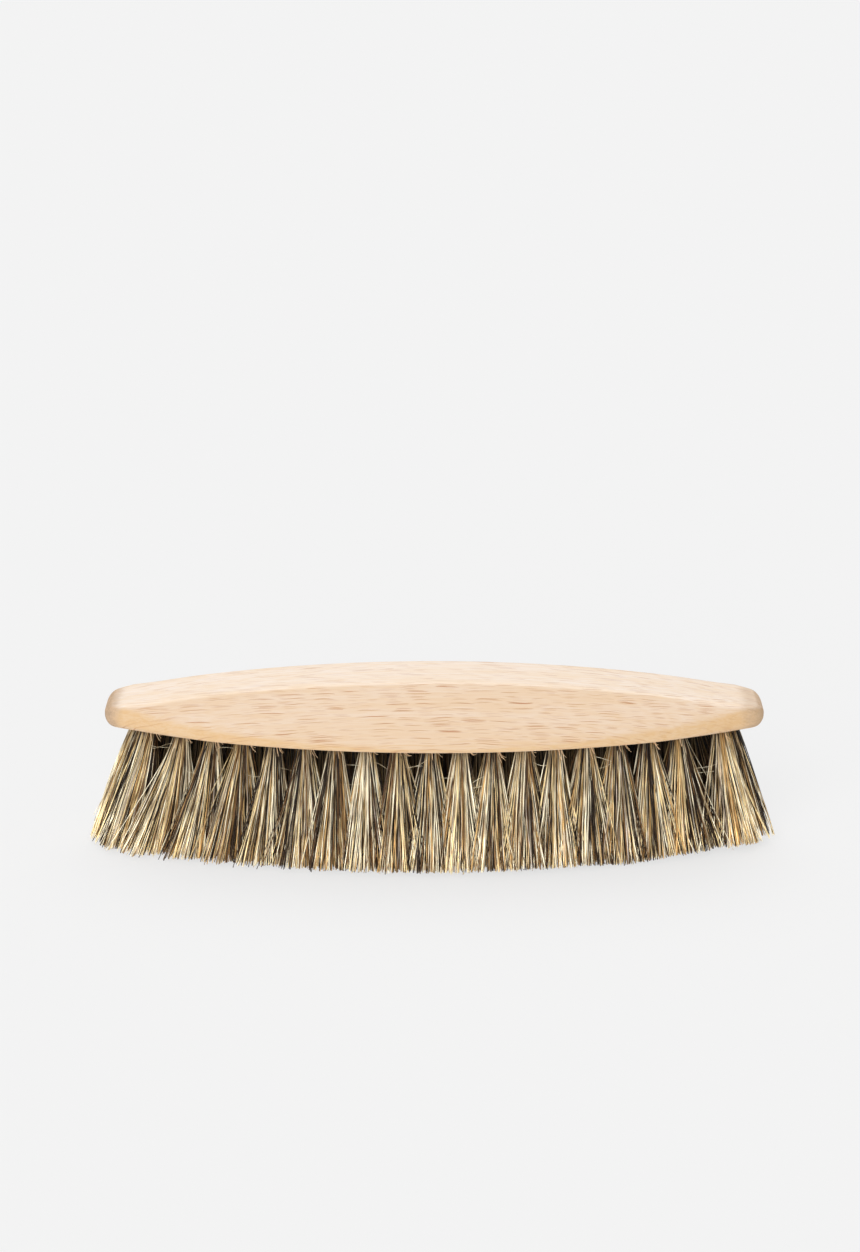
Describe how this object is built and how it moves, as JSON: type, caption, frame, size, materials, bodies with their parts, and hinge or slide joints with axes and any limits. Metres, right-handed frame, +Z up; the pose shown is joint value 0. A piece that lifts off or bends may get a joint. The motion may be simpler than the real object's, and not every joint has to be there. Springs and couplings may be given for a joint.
{
  "type": "shoe shine brush",
  "caption": "Hand brush for polishing shoes: a long crowned wooden block with sloping sides and a flat underside, filled with level-trimmed tufts of mixed hair.",
  "frame": {"origin": "middle of the trimmed face of the tufts, level with their tips", "axes": "+X along the block, -Y towards the side that the picture shows, +Z up from the tips to the crown of the block"},
  "size_m": [0.1854, 0.0636, 0.0467],
  "materials": {
    "beech": "sanded bare beech with short reddish flecks, satin",
    "hair": "mixed straw, grey, brown and black hair, dry and slightly glossy"
  },
  "bodies": {
    "root": {"block": "beech", "row_front_2_1": "hair", "row_front_3_1": "hair", "row_middle_2": "hair", "row_middle_3": "hair", "row_middle_4": "hair", "row_rear_2_1": "hair", "row_rear_3_1": "hair", "tuft_front_01": "hair", "tuft_front_02": "hair", "tuft_front_03": "hair", "tuft_front_04": "hair", "tuft_front_05": "hair", "tuft_front_06": "hair", "tuft_front_07": "hair", "tuft_front_08": "hair", "tuft_front_09": "hair", "tuft_front_10": "hair", "tuft_front_11": "hair", "tuft_front_12": "hair", "tuft_front_13": "hair", "tuft_front_14": "hair", "tuft_front_15": "hair", "tuft_front_16": "hair", "tuft_front_17": "hair", "tuft_front_18": "hair", "tuft_front_19": "hair", "tuft_middle_01": "hair", "tuft_middle_05": "hair", "tuft_nose_01": "hair", "tuft_nose_02": "hair", "tuft_rear_01": "hair", "tuft_rear_02": "hair", "tuft_rear_03": "hair", "tuft_rear_04": "hair", "tuft_rear_05": "hair", "tuft_rear_06": "hair", "tuft_rear_07": "hair", "tuft_rear_08": "hair", "tuft_rear_09": "hair", "tuft_rear_10": "hair", "tuft_rear_11": "hair", "tuft_rear_12": "hair", "tuft_rear_13": "hair", "tuft_rear_14": "hair", "tuft_rear_15": "hair", "tuft_rear_16": "hair", "tuft_rear_17": "hair", "tuft_rear_18": "hair", "tuft_rear_19": "hair"}
  },
  "joints": []
}
